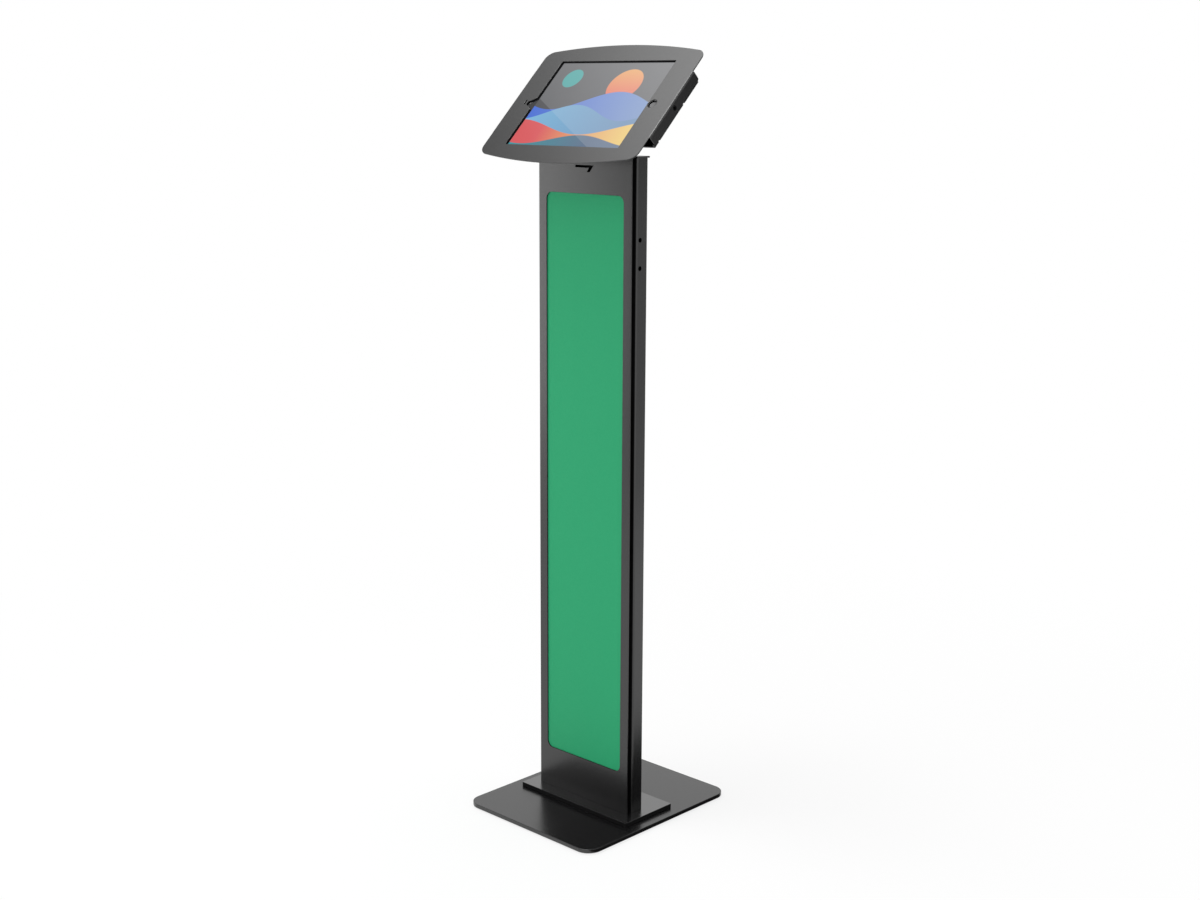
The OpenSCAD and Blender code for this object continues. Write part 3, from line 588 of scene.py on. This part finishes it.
# A floor pad with two grooves in its underside.
pad = [(0, 0.0015), (0.0114, 0.0015), (0.0118, 0.0014), (0.012, 0.0011), (0.0119, 0.0005), (0.0116, 0.0001),
       (0.0112, 0.0), (0.0094, 0.0), (0.0091, 0.0005), (0.0083, 0.0005), (0.008, 0.0), (0.0064, 0.0),
       (0.0061, 0.0005), (0.0053, 0.0005), (0.005, 0.0), (0, 0.0)]
piece("floor_pads_ribbed",
      copies(lambda bm: turned(bm, pad, steps=56),
             [Matrix.Translation((x, y, 0)) for x, y in both(PAD_X, PAD_Y)]),
      "floor_pads", "floor_pads")

piece("cable_grommet_lipped",
      copies(lambda bm: turned(bm, grommet(CAP_TOP - COLUMN_TOP_UNDER), True, 48),
             [Matrix.Translation((0, CHANNEL_MID, COLUMN_TOP_UNDER))]),
      "cable_grommet", "cable_grommet")
piece("outlet_grommet_lipped",
      copies(lambda bm: turned(bm, grommet(COVER_THICK), True, 48),
             [on_axis((0, CHANNEL_BACK, OUTLET_HEIGHT), (0, -1, 0))]),
      "outlet_grommet", "outlet_grommet")

piece("tray_foam",
                copies(soft_pad(length=0.046, width=0.020, thick=0.001, corner=0.003),
                       [on_face(TABLET_U + u, v, FOAM_N) for u, v in both(FOAM_U, FOAM_V)]),
                "foam_pads", "foam_pads")
eased("face_gasket", 0.0002, segments=4)

# The button's raised rim and shallow dish.
button = [(0, 0), (0.005, 0), (0.005, 0.0019), (0.0049, 0.00205), (0.0047, 0.0021), (0.0044, 0.0021),
          (0.0043, 0.00204), (0.003, 0.00200), (0.0015, 0.00198), (0, 0.00197)]
piece("home_button_dished",
      copies(lambda bm: turned(bm, button, steps=56), [on_face(HOME_SPOT.x, 0, BUTTON_N)]),
      "home_button", "home_button")

# The tablet's front camera, a low ring around a domed lens, and the seal behind the sensor slot. The seal is
# painted shade: a black piece that makes the slot as dark as the shade between its walls.
lens = [(0, -0.0002), (0.0021, -0.0002), (0.0021, 0.00004), (0.002, 0.0001), (0.0016, 0.0001),
        (0.0015, 0.00003), (0.0008, 0.00007), (0, 0.00008)]
piece("front_camera", copies(lambda bm: turned(bm, lens), [on_face(CAMERA_U, 0, GLASS_N)]), "home_button")
piece("sensor_shade_seal",
      copies(soft_pad(length=0.0022, width=0.0082, thick=0.0004, corner=0.001),
             [on_face(SENSOR_U, 0, SHADE_SEAL_N)]),
      "floor_pads")


# Studio

# The photograph's camera: its place in metres and its turns in degrees.
EYE = Vector((1.6295, -1.6969, 1.0321))
YAW, PITCH, ROLL = (math.radians(turn) for turn in (43.8285, 12.0401, 0.2501))
LENS, SENSOR = 50.911, 36.0


def photo_camera():
    ahead = Vector((-math.sin(YAW) * math.cos(PITCH), math.cos(YAW) * math.cos(PITCH), -math.sin(PITCH)))
    level = Vector((math.cos(YAW), math.sin(YAW), 0))
    drop = ahead.cross(level)
    right = level * math.cos(ROLL) - drop * math.sin(ROLL)
    down = level * math.sin(ROLL) + drop * math.cos(ROLL)
    cam = bpy.data.cameras.new("photo_camera")
    cam.lens, cam.sensor_width, cam.clip_end = LENS, SENSOR, 100.0
    holder = bpy.data.objects.new("photo_camera", cam)
    bpy.context.scene.collection.objects.link(holder)
    holder.matrix_world = Matrix.Translation(EYE) @ Matrix((right, -down, -ahead)).transposed().to_4x4()
    bpy.context.scene.camera = holder


def backdrop_rays(tree):
    """1 where the camera, a reflection or a view through glass sees the studio."""
    rays = add(tree, "ShaderNodeLightPath").outputs
    beyond = math_node(tree, "MAXIMUM", rays["Is Glossy Ray"], rays["Is Transmission Ray"])
    return math_node(tree, "MAXIMUM", rays["Is Camera Ray"], beyond)


def studio_sheet(name, mat, size, where=Matrix.Identity(4)):
    bm = bmesh.new()
    bmesh.ops.create_grid(bm, x_segments=4, y_segments=4, size=size, matrix=where)
    mesh = bpy.data.meshes.new(name)
    bm.to_mesh(mesh)
    bm.free()
    mesh.materials.append(mat)
    sheet = bpy.data.objects.new(name, mesh)
    bpy.context.scene.collection.objects.link(sheet)
    return sheet


def studio_floor():
    """White floor that keeps the shadow close to the base and fades into the backdrop."""
    mat, tree, shader = new_material("studio_floor")
    shader.inputs["Base Color"].default_value = (0.86, 0.86, 0.86, 1)
    shader.inputs["Roughness"].default_value = 0.9
    shader.inputs["Specular IOR Level"].default_value = 0.0
    reach = add(tree, "ShaderNodeVectorMath", operation="LENGTH")
    tree.links.new(place(tree), reach.inputs[0])
    far = soft_step(tree, reach.outputs["Value"], 0.9, 0.7)
    share = math_node(tree, "MULTIPLY", backdrop_rays(tree), between(tree, far, 0.75, 1.0))
    white = add(tree, "ShaderNodeEmission")
    mix = add(tree, "ShaderNodeMixShader")
    tree.links.new(share, mix.inputs["Fac"])
    tree.links.new(shader.outputs["BSDF"], mix.inputs[1])
    tree.links.new(white.outputs["Emission"], mix.inputs[2])
    tree.links.new(mix.outputs["Shader"], tree.nodes["Material Output"].inputs["Surface"])
    studio_sheet("studio_floor", mat, 12.0)


def studio_world():
    world = bpy.data.worlds.new("studio")
    bpy.context.scene.world = world
    world.use_nodes = True
    tree = world.node_tree
    sky = tree.nodes["Background"]
    tree.links.new(between(tree, backdrop_rays(tree), 0.9, 1.0), sky.inputs["Strength"])
    sky.inputs["Color"].default_value = (1, 1, 1, 1)


def softbox(name, spot, aim, size, glow):
    """An even square lamp, as bright as glow times a white backdrop."""
    lamp = bpy.data.lights.new(name, "AREA")
    lamp.shape = "SQUARE"
    lamp.size = size
    lamp.energy = glow * math.pi * size * size
    holder = bpy.data.objects.new(name, lamp)
    bpy.context.scene.collection.objects.link(holder)
    turn = (Vector(aim) - Vector(spot)).to_track_quat("-Z", "Y").to_matrix().to_4x4()
    holder.matrix_world = Matrix.Translation(spot) @ turn
    holder.visible_camera = False


def toned_card(name, where, width, height, ramp, axis="X"):
    """A card that only gloss mirrors. Its tone runs along one axis from (place, tone) to (place, tone)."""
    mat, tree, shader = new_material(name)
    shader.inputs["Base Color"].default_value = (0, 0, 0, 1)
    shader.inputs["Specular IOR Level"].default_value = 0.0
    shader.inputs["Emission Color"].default_value = (1, 1, 1, 1)
    split = add(tree, "ShaderNodeSeparateXYZ")
    spot = mapped(tree, "TEXTURE", Location=where.translation, Rotation=where.to_euler())
    tree.links.new(spot, split.inputs["Vector"])
    (first, low), (last, high) = ramp
    span = add(tree, "ShaderNodeMapRange")
    for key, value in (("From Min", first), ("From Max", last), ("To Min", low), ("To Max", high)):
        span.inputs[key].default_value = value
    tree.links.new(split.outputs[axis], span.inputs["Value"])
    tree.links.new(span.outputs["Result"], shader.inputs["Emission Strength"])
    card = studio_sheet(name, mat, 1.0, where @ Matrix.Diagonal((width / 2, height / 2, 1, 1)))
    card.visible_camera = card.visible_diffuse = card.visible_shadow = card.visible_transmission = False


def even(tone):
    return (0, tone), (1, tone)


def facing(spot, aim):
    """A card's place: upright, with its front towards aim."""
    ahead = (Vector(aim) - Vector(spot)).normalized()
    across = Vector((0, 0, 1)).cross(ahead).normalized()
    return Matrix.Translation(spot) @ Matrix((across, ahead.cross(across), ahead)).transposed().to_4x4()


def face_card(reach, size, left_tone, right_tone):
    """The card that the slanted face mirrors to the camera, with a tone from its left to its right."""
    out = (FACE_TO_ROOM.to_3x3() @ Vector((0, 0, 1))).normalized()
    mirrored_eye = EYE - 2 * (EYE - SCREEN_MID).dot(out) * out

    def mirrored(u):
        point = FACE_TO_ROOM @ Vector((u, 0, GLASS_N))
        return point + (point - mirrored_eye).normalized() * reach

    ahead = (SCREEN_MID - mirrored(0)).normalized()
    across = mirrored(FOLD_U) - mirrored(-FOLD_U)
    across = (across - across.dot(ahead) * ahead).normalized()
    turn = Matrix((across, ahead.cross(across), ahead)).transposed().to_4x4()
    where = Matrix.Translation(mirrored(0)) @ turn
    left, right = ((where.inverted() @ mirrored(u)).x for u in both(FOLD_U))
    toned_card("face_card", where, size, size, ((left, left_tone), (right, right_tone)))


studio_floor()
studio_world()
photo_camera()
# The photograph's base shows no green, so gloss doesn't mirror the sheet.
nodes["graphic_sheet"].visible_glossy = False
softbox("key_softbox", spot=(-1.2, -2.6, 2.7), aim=(0, 0, 0.6), size=1.6, glow=1.5)
softbox("top_softbox", spot=(-0.4, -0.6, 3.0), aim=(0, 0, 0.5), size=2.4, glow=0.5)
softbox("edge_softbox", spot=(-0.46, -0.43, 2.76), aim=(0.147, -0.02, 1.01), size=0.6, glow=13.0)
# The cards are placed for the photograph's view.
toned_card("front_card", facing((-1.85, -1.9, 0.6), (-1.85, 0, 0.6)), width=3.0, height=1.3,
           ramp=((-0.4, 0.0), (0.45, 3.6)))
toned_card("upper_card", facing((-1.85, -1.9, 2.0), (-1.85, 0, 2.0)), width=3.0, height=1.5, ramp=even(0.1))
toned_card("side_card", facing((1.25, 1.25, 0.7), (0.088, 0.0, 0.7)), width=1.4, height=1.4,
           ramp=((0.12, 0.62), (0.28, 0.08)), axis="Y")
# Painted shade: a dark card on the floor beside the base, seen only in gloss, stands in for the floor's
# shade in the reflections.
toned_card("right_floor_shade_card", Matrix.Translation((0.215, 0.10, 0.002)), width=0.18, height=0.50,
           ramp=even(0.03))
face_card(reach=2.4, size=3.0, left_tone=0.4, right_tone=2.35)
bpy.context.scene.view_settings.view_transform = "Standard"
